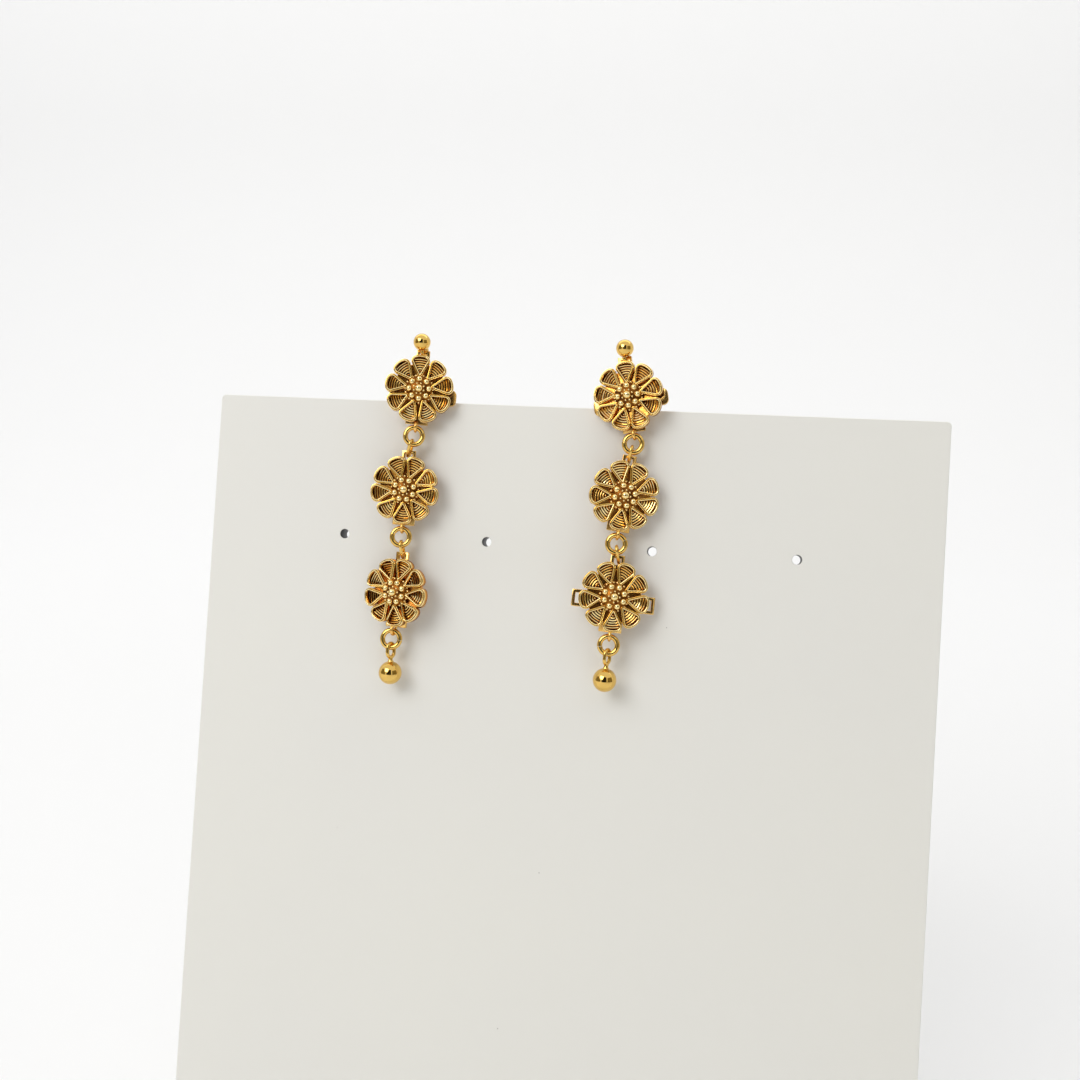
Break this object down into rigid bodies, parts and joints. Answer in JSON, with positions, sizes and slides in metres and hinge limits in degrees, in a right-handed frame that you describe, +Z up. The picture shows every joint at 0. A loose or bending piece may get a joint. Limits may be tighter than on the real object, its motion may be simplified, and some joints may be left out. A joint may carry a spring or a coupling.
{
  "type": "pair of dangle earrings on a display stand",
  "caption": "Matching dangle earrings of linked cast petal rosettes with a polished end ball, hung by their ear hooks on the top edge of a leaning white display panel.",
  "frame": {"origin": "middle of the flat underside of the stand's foot, on the surface it stands on", "axes": "+Z up, +X to the right as the earrings are looked at, +Y away from the viewer; the panel stands near the -Y end of the foot and leans back, its front face looks to -Y and slightly up"},
  "size_m": [0.102, 0.064, 0.1327],
  "materials": {
    "stand_sheet": "matt, smooth, slightly warm white with tiny specks",
    "cast_gold": "antiqued gold plating on cast brass, bright raised rims over darker amber floors",
    "polished_gold": "polished gold plating"
  },
  "bodies": {
    "root": {"display_stand": "stand_sheet", "left_ear_hook": "polished_gold", "left_flower_1": "cast_gold", "left_ring_1": "polished_gold", "left_link_1": "polished_gold", "left_flower_2": "cast_gold", "left_ring_2": "polished_gold", "left_link_2": "polished_gold", "left_flower_3": "cast_gold", "left_ring_3": "polished_gold", "left_ball_drop": "polished_gold", "right_ear_hook": "polished_gold", "right_flower_1": "cast_gold", "right_ring_1": "polished_gold", "right_link_1": "polished_gold", "right_flower_2": "cast_gold", "right_ring_2": "polished_gold", "right_link_2": "polished_gold", "right_flower_3": "cast_gold", "right_ring_3": "polished_gold", "right_ball_drop": "polished_gold"}
  },
  "joints": []
}
